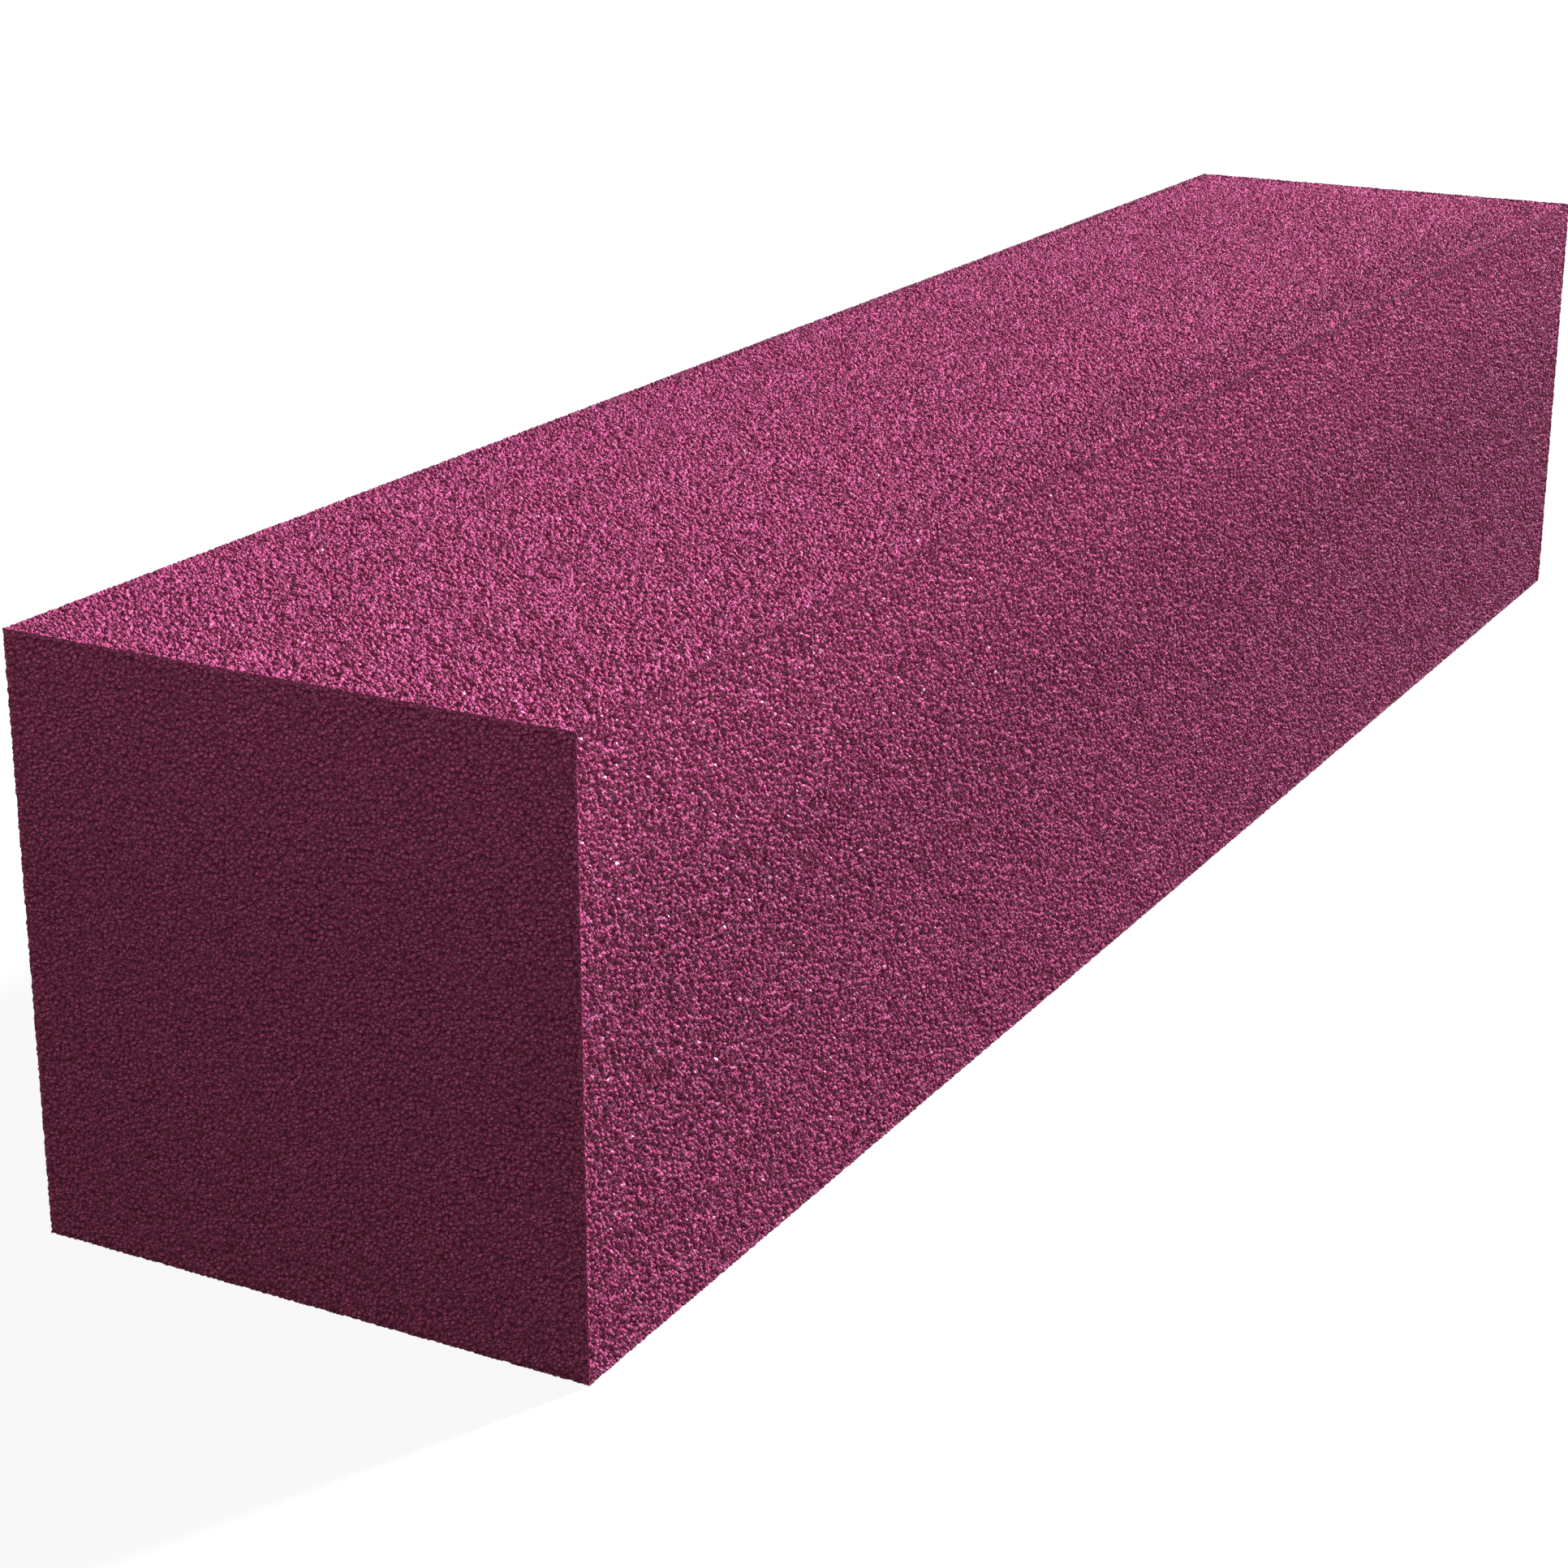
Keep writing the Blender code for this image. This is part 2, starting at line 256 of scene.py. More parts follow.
SPANGLE = 0.007  # size of the zinc's crystals
SPANGLE_WARP = 0.25  # how far they are from plain Voronoi cells
ZINC_ROUGHNESS = (0.34, 0.52)  # of the shiniest and the dullest crystal
BLOOM_SCALE = 90.0  # patches of dull bloom on the zinc, to a metre
BLOOM_ROUGHNESS = 0.2  # what the bloom adds to the roughness
RUN_SCALE = 220.0  # waves in the dipped zinc, to a metre
RUN_DEPTH = 0.0003
FLOW_SCALE = 140.0  # flow marks in the plastic, to a metre
FLOW_SHADE = 0.8  # brightness of the darkest of them
PLASTIC_ROUGHNESS = (0.38, 0.50)
PLASTIC_GRAIN_SCALE = 2600.0  # of the mould's fine texture, to a metre
PLASTIC_GRAIN_DEPTH = 0.00006


def facet(nodes, places, cells, tilt):
    """Height of each cell's own randomly tilted plane, in cell sizes, and its slope."""
    from_middle = nodes.vector("SUBTRACT", places, cells["Position"])
    centred = nodes.vector("SUBTRACT", cells["Color"], (0.5, 0.5, 0.5))
    slope = nodes.scaled(centred, 2 * tilt)
    return nodes.vector("DOT_PRODUCT", from_middle, slope), slope


def granule_pattern(nodes, position, grade):
    """Adds the pattern and returns its sockets: height in metres (never above 0), three
    random numbers for each granule, and how open the pore is (0 on a granule, 1 in a pore)."""
    places = nodes.scaled(position, 1.0 / grade.size)
    wander = nodes.noise(places, WANDER_SCALE, detail=1.0, colour=True)
    wander = nodes.vector("SUBTRACT", wander, (0.5, 0.5, 0.5))
    places = nodes.vector("ADD", places, nodes.scaled(wander, 2 * grade.warp))

    cells = nodes.voronoi(places)
    walls = nodes.voronoi(places, "DISTANCE_TO_EDGE")
    random = nodes.split(cells["Color"])
    tilted, slope = facet(nodes, places, cells, grade.tilt)
    drop = nodes.maths("MULTIPLY", nodes.vector("LENGTH", slope), TILT_DROP)
    tilted = nodes.maths("MULTIPLY", nodes.maths("SUBTRACT", tilted, drop), grade.size)
    sunk = nodes.maths("MULTIPLY", nodes.ramp(random[2], SUNK_FROM, 1.0), grade.pit)
    pore = nodes.ramp(walls["Distance"], 0.0, grade.gap, 1.0, 0.0)
    reach = nodes.maths("MULTIPLY", cells["Distance"], cells["Distance"])
    domed = nodes.maths("MULTIPLY", reach, grade.dome * grade.size)
    height = nodes.maths("SUBTRACT", tilted, nodes.maths("ADD", sunk, domed))
    height = nodes.maths("MINIMUM", height, 0.0)
    height = nodes.maths("SUBTRACT", height, nodes.maths("MULTIPLY", pore, grade.relief))
    return height, random, pore


def new_material(name):
    material = bpy.data.materials.new(name)
    material.use_nodes = True
    nodes = Nodes(material.node_tree)
    shader = material.node_tree.nodes["Principled BSDF"]
    return material, nodes, shader


def rest_position(nodes):
    """Where a point was before the relief moved it, so that colour and relief agree."""
    return nodes.add("ShaderNodeAttribute", attribute_name="rest").outputs["Vector"]


# Granulate meshes --------------------------------------------------------------------


def grid_lines(low, high, step, marks=()):
    """Even lines from low to high that also pass through the marks, closer at the ends to
    give a rounded arris its steps."""
    turns = [math.tan(math.radians(45 * n / ARRIS_STEPS)) for n in range(ARRIS_STEPS, 0, -1)]
    near = [low + ARRIS * (1 - t) for t in turns]
    far = [high - ARRIS * (1 - t) for t in reversed(turns)]
    stops = [low + ARRIS, *marks, high - ARRIS]
    lines = list(near)
    for start, end in zip(stops, stops[1:]):
        count = max(1, round((end - start) / step))
        lines += list(np.linspace(start, end, count, endpoint=False))
    return np.array(lines + [stops[-1]] + far)


class Lattice:
    """Collects faces on a lattice of x, y and z lines and shares their vertices."""

    def __init__(self, x_lines, y_lines, z_lines):
        self.lines = (x_lines, y_lines, z_lines)
        self.strides = (
            len(y_lines) * len(z_lines),
            len(z_lines),
            1,
        )
        self.quads = []

    def sheet(self, across, along, fixed, level, flip, keep=None):
        """Adds one flat sheet of quads. keep says which cells, by their place, to include."""
        a, b = np.meshgrid(
            np.arange(len(self.lines[across]) - 1),
            np.arange(len(self.lines[along]) - 1),
            indexing="ij",
        )
        a, b = a.ravel(), b.ravel()
        if keep is not None:
            chosen = keep(a, b)
            a, b = a[chosen], b[chosen]
        base = level * self.strides[fixed]

        def key(i, j):
            return base + i * self.strides[across] + j * self.strides[along]

        ring = [key(a, b), key(a + 1, b), key(a + 1, b + 1), key(a, b + 1)]
        if flip:
            ring.reverse()
        self.quads.append(np.stack(ring, axis=1))

    def build(self):
        """Vertices, faces as vertex numbers, and the sorted lattice keys of the vertices."""
        faces = np.concatenate(self.quads)
        keys, numbers = np.unique(faces, return_inverse=True)
        faces = numbers.reshape(-1, 4)
        i = keys // self.strides[0]
        j = keys % self.strides[0] // self.strides[1]
        k = keys % self.strides[1]
        points = np.stack([self.lines[0][i], self.lines[1][j], self.lines[2][k]], axis=1)
        return points, faces, keys


def smooth(share):
    share = np.clip(share, 0, 1)
    return share * share * (3 - 2 * share)


def rounded(points, low, high, radius):
    """Moves points on a box's surface onto the same box with rounded edges. Also returns
    the outward direction at each point."""
    inside = np.clip(points, low + radius, high - radius)
    outward = points - inside
    outward /= np.maximum(np.linalg.norm(outward, axis=1, keepdims=True), 1e-9)
    return inside + outward * radius, outward


def arris_fade(points, low, high):
    """How much of the relief shows at each point: less along the arrises, where the mould's
    sharp corners press the granules flat."""
    inset = np.sort(np.minimum(points - low, high - points), axis=1)[:, 1:2]
    return ARRIS_RELIEF + (1 - ARRIS_RELIEF) * smooth(inset / ARRIS_BAND)


def press_seams(points, outward, low, high):
    """Presses the mould's seam into the top, along both long arrises."""
    inset = np.minimum(points[:, 0] - low[0], high[0] - points[:, 0])
    depth = SEAM_DEPTH * (1 - smooth(np.abs(inset - SEAM_INSET) / SEAM_WIDTH))
    on_top = outward[:, 2] > 0.99
    points[on_top, 2] -= depth[on_top]


def bond_wander(y, seed):
    """How far the line between skin and core strays on the underside, at places y along it."""
    stray = np.zeros_like(y)
    for wave, share in BOND_WAVES:
        stray += share * np.sin(2 * math.pi * y / wave + seed * 1.7 + wave * 900)
    return stray * BOND_STRAY


def bond_loop(points, low, high, inset):
    """Moves points on the rectangle low..high inwards by inset and sideways by the stray."""
    moved = points.copy()
    for side, (bound, sign) in enumerate(((low, 1), (high, -1))):
        for axis in (0, 1):
            other = 1 - axis
            on_side = np.abs(points[:, axis] - bound[axis]) < 1e-6
            ends = np.minimum(points[:, other] - low[other], high[other] - points[:, other])
            stray = bond_wander(points[:, other], seed=2 * side + axis)
            stray *= smooth(ends / BOND_CORNER)
            moved[on_side, axis] += sign * (stray[on_side] + inset)
    return moved


def rectangle_loop(x_span, y_span):
    """Lattice indices (i, j) round a rectangle, anticlockwise seen from above."""
    (x0, x1), (y0, y1) = x_span, y_span
    loop = [(i, y0) for i in range(x0, x1)]
    loop += [(x1, j) for j in range(y0, y1)]
    loop += [(i, y1) for i in range(x1, x0, -1)]
    loop += [(x0, j) for j in range(y1, y0, -1)]
    return np.array(loop)


def bond_box(rim, straight, first, top, width, length):
    """The hidden box above a rim on the underside: a band up to BOND_HEIGHT, straight walls
    and a lid, seen from inside. rim holds the vertex numbers round the rim, width cells
    across and length cells along; straight is the rectangle that the walls stand on; first
    is the next free vertex number. Returns the new points, the quads and the end walls."""
    count = len(rim)
    ring = first + np.arange(count)
    after = np.roll(np.arange(count), -1)
    raised = straight + [0, 0, BOND_HEIGHT]
    right = np.arange(width, width + length + 1)
    left = np.concatenate([np.arange(2 * width + length, count), [0]])
    top_right = first + count + np.arange(length + 1)
    top_left = top_right[-1] + 1 + np.arange(length + 1)
    lid = [straight[side] * [1, 1, 0] + [0, 0, top] for side in (right, left)]
    quads = [np.stack([rim, ring, ring[after], rim[after]], axis=1)]
    for low, high in ((ring[right], top_right), (ring[left], top_left)):
        quads.append(np.stack([low[:-1], high[:-1], high[1:], low[1:]], axis=1))
    across = top_left[::-1]
    quads.append(np.stack([top_right[:-1], across[:-1], across[1:], top_right[1:]], axis=1))
    front = [*ring[: width + 1], top_right[0], top_left[-1]]
    rear = [*ring[width + length : 2 * width + length + 1], top_left[0], top_right[-1]]
    return np.concatenate([raised, *lid]), np.concatenate(quads), [front[::-1], rear[::-1]]


def new_mesh(name, points, quads, polygons):
    """A mesh from an array of quads and a few further polygons."""
    mesh = bpy.data.meshes.new(name)
    sizes = np.array([4] * len(quads) + [len(polygon) for polygon in polygons], np.int32)
    corners = np.concatenate([quads.ravel(), *[np.array(polygon) for polygon in polygons]])
    mesh.vertices.add(len(points))
    mesh.loops.add(len(corners))
    mesh.polygons.add(len(sizes))
    mesh.vertices.foreach_set("co", points.astype(np.float32).ravel())
    mesh.loops.foreach_set("vertex_index", corners.astype(np.int32))
    starts = np.concatenate([[0], np.cumsum(sizes)[:-1]]).astype(np.int32)
    mesh.polygons.foreach_set("loop_start", starts)
    mesh.update(calc_edges=True)
    return mesh


def set_outward(mesh, outward):
    """Keeps each point's outward direction on the mesh, zero for the hidden points."""
    values = np.zeros((len(mesh.vertices), 3), np.float32)
    values[: len(outward)] = outward
    attribute = mesh.attributes.new("outward", "FLOAT_VECTOR", "POINT")
    attribute.data.foreach_set("vector", values.ravel())


def skin_mesh():
    """The five-sided skin: fine outer faces and lower rim, plain hidden inner faces."""
    low, high = (np.array(corner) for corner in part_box("epdm_skin"))
    core_low, core_high = (np.array(corner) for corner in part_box("sbr_core"))
    inner_low = core_low - BOND_GAP
    inner_high = core_high + BOND_GAP
    x_lines = grid_lines(low[0], high[0], SKIN_STEP, (inner_low[0], inner_high[0]))
    y_lines = grid_lines(low[1], high[1], SKIN_STEP, (inner_low[1], inner_high[1]))
    z_lines = grid_lines(low[2], high[2], SKIN_STEP)
    x_in = [int(np.argmin(np.abs(x_lines - mark[0]))) for mark in (inner_low, inner_high)]
    y_in = [int(np.argmin(np.abs(y_lines - mark[1]))) for mark in (inner_low, inner_high)]

    def on_rim(i, j):
        return (i < x_in[0]) | (i >= x_in[1]) | (j < y_in[0]) | (j >= y_in[1])

    lattice = Lattice(x_lines, y_lines, z_lines)
    lattice.sheet(0, 1, 2, len(z_lines) - 1, flip=False)
    lattice.sheet(0, 2, 1, 0, flip=False)
    lattice.sheet(0, 2, 1, len(y_lines) - 1, flip=True)
    lattice.sheet(1, 2, 0, 0, flip=True)
    lattice.sheet(1, 2, 0, len(x_lines) - 1, flip=False)
    lattice.sheet(0, 1, 2, 0, flip=True, keep=on_rim)
    points, quads, keys = lattice.build()
    points, outward = rounded(points, low, high, ARRIS)
    press_seams(points, outward, low, high)
    outward *= arris_fade(points, low, high)

    loop = rectangle_loop(x_in, y_in)
    rim = np.searchsorted(keys, loop @ lattice.strides[:2])
    straight = points[rim].copy()
    points[rim] = bond_loop(straight, inner_low, inner_high, 0.0)
    more, walls, ends = bond_box(
        rim, straight, len(points), inner_high[2], x_in[1] - x_in[0], y_in[1] - y_in[0]
    )
    mesh = new_mesh(
        "epdm_skin_fine", np.concatenate([points, more]), np.concatenate([quads, walls]), ends
    )
    set_outward(mesh, outward)
    return mesh


def core_mesh():
    """The core as a closed box with a fine underside, before its pockets are cut."""
    low, high = (np.array(corner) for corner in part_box("sbr_core"))
    counts = [round((high[axis] - low[axis]) / CORE_STEP) for axis in (0, 1)]
    lines = [np.linspace(low[axis], high[axis], counts[axis] + 1) for axis in (0, 1)]
    lattice = Lattice(*lines, np.array([low[2] + CORE_INSET]))
    lattice.sheet(0, 1, 2, 0, flip=True)
    points, quads, keys = lattice.build()
    outward = np.tile([0.0, 0.0, -1.0], (len(points), 1))

    loop = rectangle_loop((0, counts[0]), (0, counts[1]))
    rim = np.searchsorted(keys, loop @ lattice.strides[:2])
    straight = points[rim].copy()
    points[rim] = bond_loop(straight, low, high, 0.0)
    middle = (low + high) / 2
    straight[:, :2] -= np.sign(straight[:, :2] - middle[:2]) * CORE_INSET
    more, walls, ends = bond_box(
        rim, straight, len(points), high[2] - CORE_INSET, counts[0], counts[1]
    )
    mesh = new_mesh(
        "sbr_core_fine",
        np.concatenate([points, more]),
        np.concatenate([quads, walls[:, ::-1]]),
        [end[::-1] for end in ends],
    )
    set_outward(mesh, outward)
    return mesh


def relief_tree(name, grade):
    """Geometry nodes that keep each point's rest place and move it in by the relief, along
    its outward direction, which is zero for points that stay where they are."""
    tree = bpy.data.node_groups.new(name, "GeometryNodeTree")
    tree.interface.new_socket("Geometry", in_out="INPUT", socket_type="NodeSocketGeometry")
    tree.interface.new_socket("Geometry", in_out="OUTPUT", socket_type="NodeSocketGeometry")
    nodes = Nodes(tree)
    start = nodes.add("NodeGroupInput")
    end = nodes.add("NodeGroupOutput")
    position = nodes.add("GeometryNodeInputPosition").outputs[0]
    store = nodes.add(
        "GeometryNodeStoreNamedAttribute", data_type="FLOAT_VECTOR", domain="POINT"
    )
    nodes.feed(store.inputs["Geometry"], start.outputs[0])
    nodes.feed(store.inputs["Name"], "rest")
    nodes.feed(store.inputs["Value"], position)
    height = granule_pattern(nodes, position, grade)[0]
    height = nodes.maths("MAXIMUM", height, -DEEPEST * grade.relief)
    outward = nodes.add("GeometryNodeInputNamedAttribute", data_type="FLOAT_VECTOR")
    nodes.feed(outward.inputs["Name"], "outward")
    move = nodes.add("GeometryNodeSetPosition")
    nodes.feed(move.inputs["Geometry"], store.outputs["Geometry"])
    nodes.feed(move.inputs["Offset"], nodes.scaled(outward.outputs["Attribute"], height))
    nodes.feed(end.inputs[0], move.outputs["Geometry"])
    return tree


def shaped_mesh(piece):
    """The mesh of a piece as its modifiers leave it."""
    graph = bpy.context.evaluated_depsgraph_get()
    return bpy.data.meshes.new_from_object(
        piece.evaluated_get(graph), preserve_all_data_layers=True, depsgraph=graph
    )


def granulate_piece(name, mesh, grade, node, material, mould=None):
    """Gives a mesh its granule relief and puts it in place of a CAD node. A mould is a
    closed solid that the piece is trimmed to, for its pockets."""
    piece = bpy.data.objects.new(name, mesh)
    bpy.context.scene.collection.objects.link(piece)
    relief = piece.modifiers.new("relief", "NODES")
    relief.node_group = relief_tree(name + "_relief", grade)
    if mould is not None:
        trim = piece.modifiers.new("trim", "BOOLEAN")
        trim.operation = "INTERSECT"
        trim.solver = "MANIFOLD"
        trim.object = mould
    piece.data = shaped_mesh(piece)
    piece.modifiers.clear()
    piece.data.shade_smooth()
    piece.data.materials.clear()
    piece.data.materials.append(material)
    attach(piece, "root")
    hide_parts(node)
    return piece


def cad_solid(node):
    """A copy of a CAD node with its corners joined, so that it is one closed mesh."""
    mesh = bpy.data.meshes.new(node + "_solid")
    shape = bmesh.new()
    shape.from_mesh(frame["nodes"][node].data)
    bmesh.ops.remove_doubles(shape, verts=shape.verts, dist=1e-6)
    shape.to_mesh(mesh)
    shape.free()
    solid = bpy.data.objects.new(node + "_solid", mesh)
    bpy.context.scene.collection.objects.link(solid)
    return solid


# Materials ---------------------------------------------------------------------------


def painted_light_and_band(nodes, rest):
    """How light the colour is at a place, as painted light and shade. The sides and ends are
    painted darker lower down and the sides towards the rear, the rear of the top is painted
    lighter, a band along one arris is darker, and painted shade lies in the seams and along
    the bottom edges."""
    low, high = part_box("epdm_skin")
    x, y, z = nodes.split(rest)
    away = nodes.maths("ABSOLUTE", y)
    # painted shade: the sides and ends darker lower down, lighter towards the top, as the
    # light falls
    on_end = nodes.ramp(away, *(high.y - edge for edge in FACE_EDGE))
    lower = nodes.ramp(on_end, 0.0, 1.0, LOW_SIDE, LOW_END)
    upper = nodes.ramp(z, *(high.z - below for below in LOW_BELOW), lower, 1.0)
    on_top = nodes.ramp(z, *(high.z - edge for edge in FACE_EDGE))
    # painted shade towards the rear of the sides, painted light at the rear of the top
    along_side = nodes.ramp(y, low.y, high.y, 1.0, REAR_SIDE, smooth=False)
    rear = nodes.ramp(y, *(high.y - start for start in REAR_FROM), 1.0, REAR_TOP)
    along = nodes.ramp(on_top, 0.0, 1.0, along_side, rear, smooth=False)
    inset = nodes.maths("SUBTRACT", high.x, x)
    from_front = nodes.ramp(y, low.y + DARKENING_FROM, 0.0)
    # a darker band along the right arris of the top, growing from the front end back to the
    # middle
    rubbed = nodes.maths(
        "MULTIPLY", nodes.ramp(inset, *BAND_INSIDE), nodes.ramp(inset, *BAND_OUTSIDE)
    )
    rubbed = nodes.maths("MULTIPLY", nodes.maths("MULTIPLY", rubbed, from_front), BAND_DARK)
    # painted shade in the seam's groove along both long arrises of the top, darker from the
    # front end back to the middle
    either = nodes.maths("SUBTRACT", high.x, nodes.maths("ABSOLUTE", x))
    seam = nodes.maths(
        "MULTIPLY",
        nodes.ramp(either, SEAM_INSET, SEAM_INSET + 2 * SEAM_WIDTH, 1.0, 0.0),
        nodes.ramp(z, high.z - 2 * ARRIS, high.z - ARRIS),
    )
    seam = nodes.maths("MULTIPLY", seam, nodes.ramp(from_front, 0.0, 1.0, *SEAM_SHADE))
    # painted shade: a dark line along the bottom edges, where the beam meets the floor
    foot = nodes.ramp(z, low.z, low.z + FOOT_REACH, 1 - FOOT_SHADE, 1.0)
    tint = nodes.maths("MULTIPLY", nodes.maths("MULTIPLY", upper, along), foot)
    tint = nodes.maths("MULTIPLY", tint, nodes.maths("SUBTRACT", 1.0, rubbed))
    return nodes.maths("MULTIPLY", tint, nodes.maths("SUBTRACT", 1.0, seam))


def binder_film(nodes, rest, chance):
    """How much clear binder a facet carries: a glossy film on a few facets, and none along
    the top's long arrises and on the ends, where it is rubbed off."""
    low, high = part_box("epdm_skin")
    x, y, z = nodes.split(rest)
    from_side = nodes.maths("SUBTRACT", high.x, nodes.maths("ABSOLUTE", x))
    from_end = nodes.maths("SUBTRACT", high.y, nodes.maths("ABSOLUTE", y))
    from_arris = nodes.maths("MAXIMUM", from_side, nodes.maths("SUBTRACT", high.z, z))
    inset = nodes.maths("MINIMUM", from_arris, from_end)
    share = nodes.ramp(y, low.y, low.y + EPDM_FILM_REACH, EPDM_FILMED, 0.0, smooth=False)
    filmed = nodes.maths("LESS_THAN", chance, share)
    return nodes.maths("MULTIPLY", filmed, nodes.ramp(inset, *FILM_EDGE))


def epdm_material():
    """Raspberry granules in a clear binder, with painted shade in the pores between them. A
    few facets hold enough binder to glint."""
    material, nodes, shader = new_material("epdm_granulate_fine")
    rest = rest_position(nodes)
    height, random, pore = granule_pattern(nodes, rest, EPDM)
    places = nodes.scaled(rest, 1.0 / EPDM_CHIP)
    chips = nodes.voronoi(places)
    chip = facet(nodes, places, chips, EPDM_CHIP_TILT)[0]
    chip_random = nodes.split(chips["Color"])

    tone = nodes.mix(random[0], RASPBERRY_DEEP, RASPBERRY_PALE)
    shade = nodes.ramp(chip_random[0], 0.0, 1.0, *EPDM_SHADES, smooth=False)
    # painted light and shade, and the darker band, on the skin's colour
    tone = nodes.scaled(tone, nodes.maths("MULTIPLY", shade, painted_light_and_band(nodes, rest)))
    # painted shade: the colour darkens in the open pores between the granules
    colour = nodes.mix(nodes.maths("MULTIPLY", pore, EPDM_PORE_SHADE), tone, RASPBERRY_PORE_SHADE)
    nodes.feed(shader.inputs["Base Color"], colour)
    shader.inputs["Roughness"].default_value = 0.45
    shader.inputs["Specular IOR Level"].default_value = 0.05
    nodes.feed(shader.inputs["Coat Weight"], binder_film(nodes, rest, chip_random[1]))
    shader.inputs["Coat Roughness"].default_value = 0.32
    shader.inputs["Coat IOR"].default_value = 2.0
    surface = nodes.maths("ADD", height, nodes.maths("MULTIPLY", chip, EPDM_CHIP))
    nodes.feed(shader.inputs["Normal"], nodes.bump(surface))
    return material


def sbr_material():
    """Black tyre granules: matt, a little uneven in tone, with painted shade between the
    granules.
    """
    material, nodes, shader = new_material("sbr_granulate_fine")
    place = nodes.add("ShaderNodeTexCoord").outputs["Object"]
    random, pore = granule_pattern(nodes, place, SBR)[1:]
    places = nodes.scaled(place, 1.0 / SBR_CHIP)
    chips = nodes.voronoi(places)
    chip = facet(nodes, places, chips, SBR_CHIP_TILT)[0]
    tone = nodes.mix(nodes.ramp(random[0], 0.2, 1.0), SBR_DARK, SBR_PALE)
    # painted shade: the colour darkens in the open pores between the granules
    colour = nodes.mix(nodes.maths("MULTIPLY", pore, SBR_PORE_SHADE), tone, SBR_DARK)
    nodes.feed(shader.inputs["Base Color"], colour)
    nodes.feed(shader.inputs["Roughness"], nodes.ramp(random[1], 0.0, 1.0, *SBR_ROUGHNESS))
    shader.inputs["Specular IOR Level"].default_value = 0.35
    nodes.feed(shader.inputs["Normal"], nodes.bump(nodes.maths("MULTIPLY", chip, SBR_CHIP)))
    return material


def zinc_material():
    """Hot-dip zinc: grey spangles that differ in tone and gloss, under a faint bloom."""
    material, nodes, shader = new_material("galvanised_steel_fine")
    place = nodes.add("ShaderNodeTexCoord").outputs["Object"]
    spangles = nodes.scaled(place, 1.0 / SPANGLE)
    stray = nodes.scaled(nodes.noise(spangles, 2.5, colour=True), 2 * SPANGLE_WARP)
    random = nodes.split(nodes.voronoi(nodes.vector("ADD", spangles, stray))["Color"])
    bloom = nodes.noise(place, BLOOM_SCALE, detail=4.0)
    tone = nodes.mix(nodes.ramp(random[0], 0.0, 1.0, 0.2, 1.0), ZINC_DARK, ZINC_PALE)
    tone = nodes.mix(nodes.ramp(bloom, 0.52, 0.72, 0.0, 0.5), tone, ZINC_BLOOM)
    nodes.feed(shader.inputs["Base Color"], tone)
    shader.inputs["Metallic"].default_value = 0.9
    rough = nodes.ramp(random[1], 0.0, 1.0, *ZINC_ROUGHNESS)
    dulled = nodes.ramp(bloom, 0.5, 0.75, 0.0, BLOOM_ROUGHNESS)
    nodes.feed(shader.inputs["Roughness"], nodes.maths("ADD", rough, dulled))
    runs = nodes.maths("MULTIPLY", nodes.noise(place, RUN_SCALE, detail=3.0), RUN_DEPTH)
    nodes.feed(shader.inputs["Normal"], nodes.bump(runs, 0.6))
    return material


def polyethylene_material(name, colour):
    """Moulded polyethylene: a fine waxy texture with slight flow marks."""
    material, nodes, shader = new_material(name)
    place = nodes.add("ShaderNodeTexCoord").outputs["Object"]
    flow = nodes.noise(place, FLOW_SCALE, detail=3.0)
    darker = tuple(FLOW_SHADE * part for part in colour)
    nodes.feed(shader.inputs["Base Color"], nodes.mix(flow, darker, colour))
    nodes.feed(shader.inputs["Roughness"], nodes.ramp(flow, 0.3, 0.7, *PLASTIC_ROUGHNESS))
    shader.inputs["Specular IOR Level"].default_value = 0.45
    grain = nodes.noise(place, PLASTIC_GRAIN_SCALE, detail=1.0)
    grain = nodes.maths("MULTIPLY", grain, PLASTIC_GRAIN_DEPTH)
    nodes.feed(shader.inputs["Normal"], nodes.bump(grain, 0.5))
    return material


def finish_hardware():
    """Gives the steel and plastic parts, which stay as packed, their materials."""
    finishes = {
        "galvanised_steel": zinc_material(),
        "polyethylene_black": polyethylene_material("polyethylene_black_fine", CAP_BLACK),
        "polyethylene_grey": polyethylene_material("polyethylene_grey_fine", PLUG_GREY),
    }
    for subpart in frame["record"]["subparts"]:
        material = finishes.get(subpart["material_slot"])
        if material is not None:
            for slot in frame["nodes"][subpart["node"]].material_slots:
                slot.material = material


# Stage -------------------------------------------------------------------------------


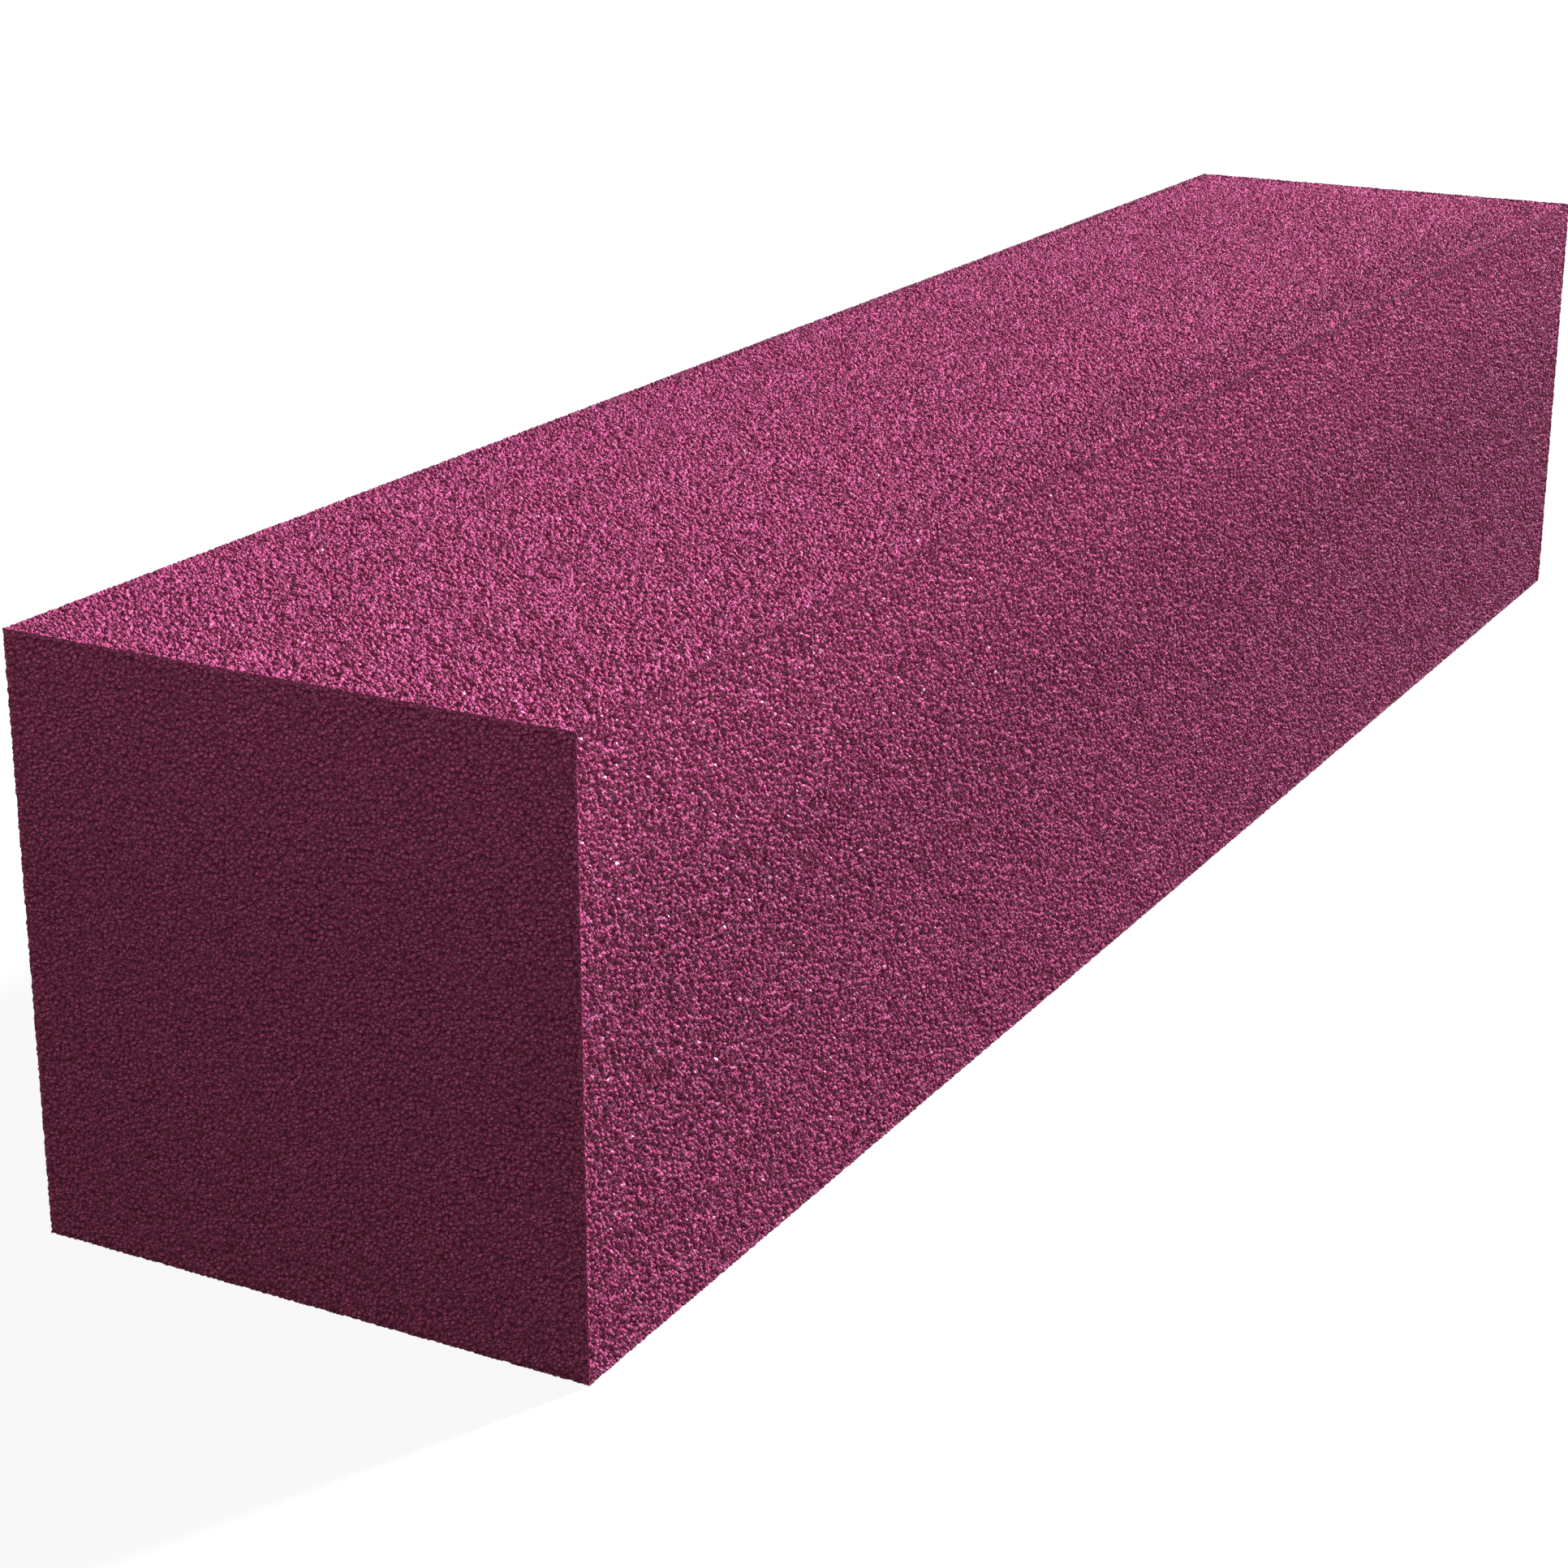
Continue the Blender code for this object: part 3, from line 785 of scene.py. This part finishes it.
def add_floor():
    """A pale floor. The camera sees it almost white, with faint shadows; the object gets
    less light from it than it would from real white paper."""
    low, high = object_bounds()
    mesh = bpy.data.meshes.new("floor")
    corners = [(-1, -1), (1, -1), (1, 1), (-1, 1)]
    mesh.from_pydata(
        [(x * FLOOR_REACH, y * FLOOR_REACH, low.z - FLOOR_DROP) for x, y in corners],
        [],
        [(0, 1, 2, 3)],
    )
    floor = bpy.data.objects.new("floor", mesh)
    bpy.context.scene.collection.objects.link(floor)
    floor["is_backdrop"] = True
    material, nodes, shader = new_material("pale_floor")
    seen = nodes.add("ShaderNodeLightPath").outputs["Is Camera Ray"]
    grey = nodes.ramp(seen, 0, 1, FLOOR_GREY, FLOOR_SEEN_GREY, smooth=False)
    nodes.feed(shader.inputs["Base Color"], nodes.scaled(WHITE, grey))
    shader.inputs["Roughness"].default_value = 1.0
    shader.inputs["Specular IOR Level"].default_value = 0.0
    nodes.feed(shader.inputs["Emission Color"], nodes.mix(seen, FILL_COLOUR, WHITE))
    mirrored = nodes.add("ShaderNodeLightPath").outputs["Is Glossy Ray"]
    glow = nodes.ramp(mirrored, 0, 1, FLOOR_GLOW, REFLECTED, smooth=False)
    glow = nodes.ramp(seen, 0, 1, glow, FLOOR_SEEN_GLOW, smooth=False)
    nodes.feed(shader.inputs["Emission Strength"], glow)
    mesh.materials.append(material)


def add_light():
    """A key light from above and behind, and an even studio surround."""
    world = bpy.data.worlds.new("studio")
    bpy.context.scene.world = world
    world.use_nodes = True
    nodes = Nodes(world.node_tree)
    background = world.node_tree.nodes["Background"]
    seen = nodes.add("ShaderNodeLightPath").outputs["Is Camera Ray"]
    nodes.feed(background.inputs["Color"], nodes.mix(seen, FILL_COLOUR, WHITE))
    mirrored = nodes.add("ShaderNodeLightPath").outputs["Is Glossy Ray"]
    ambient = nodes.ramp(mirrored, 0, 1, AMBIENT, REFLECTED, smooth=False)
    strength = nodes.ramp(seen, 0, 1, ambient, 1.0, smooth=False)
    nodes.feed(background.inputs["Strength"], strength)

    lamp = bpy.data.lights.new("key", "SUN")
    lamp.energy = KEY_ENERGY
    lamp.color = KEY_COLOUR
    lamp.angle = KEY_ANGLE
    key = bpy.data.objects.new("key", lamp)
    key.rotation_mode = "QUATERNION"
    key.rotation_quaternion = Vector(KEY_FROM).to_track_quat("Z", "Y")
    bpy.context.scene.collection.objects.link(key)
    bpy.context.scene.view_settings.view_transform = "Standard"


def keep_grain():
    """Lets the denoiser go by unfiltered colours and normals, or it smears the granules."""
    bpy.context.scene.cycles.denoising_prefilter = "NONE"


def add_camera():
    low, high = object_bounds()
    width = high.x - low.x
    data = bpy.data.cameras.new("camera")
    data.lens = CAMERA_LENS
    camera = bpy.data.objects.new("camera", data)
    camera.location = (CAMERA_ACROSS * width, low.y - CAMERA_BACK * width, CAMERA_UP * width)
    aim = Vector(CAMERA_FORWARD).to_track_quat("-Z", "Y")
    roll = Matrix.Rotation(CAMERA_ROLL, 3, "Z").to_quaternion()
    camera.rotation_mode = "QUATERNION"
    camera.rotation_quaternion = aim @ roll
    bpy.context.scene.collection.objects.link(camera)
    bpy.context.scene.camera = camera


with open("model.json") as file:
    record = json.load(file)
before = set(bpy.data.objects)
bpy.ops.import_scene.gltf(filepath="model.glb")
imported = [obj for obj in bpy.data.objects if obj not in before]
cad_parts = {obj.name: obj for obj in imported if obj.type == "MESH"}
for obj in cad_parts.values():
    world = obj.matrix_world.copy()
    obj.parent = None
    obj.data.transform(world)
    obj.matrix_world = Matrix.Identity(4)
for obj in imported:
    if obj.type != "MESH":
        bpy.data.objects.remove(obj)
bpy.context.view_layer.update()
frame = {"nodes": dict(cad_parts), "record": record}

granulate_piece(
    "epdm_skin_granulate", skin_mesh(), EPDM, "epdm_skin", epdm_material()
)
core_solid = cad_solid("sbr_core")
granulate_piece(
    "sbr_core_granulate",
    core_mesh(),
    SBR,
    "sbr_core",
    sbr_material(),
    mould=core_solid,
)
bpy.data.objects.remove(core_solid)
finish_hardware()
add_floor()
add_light()
add_camera()
keep_grain()
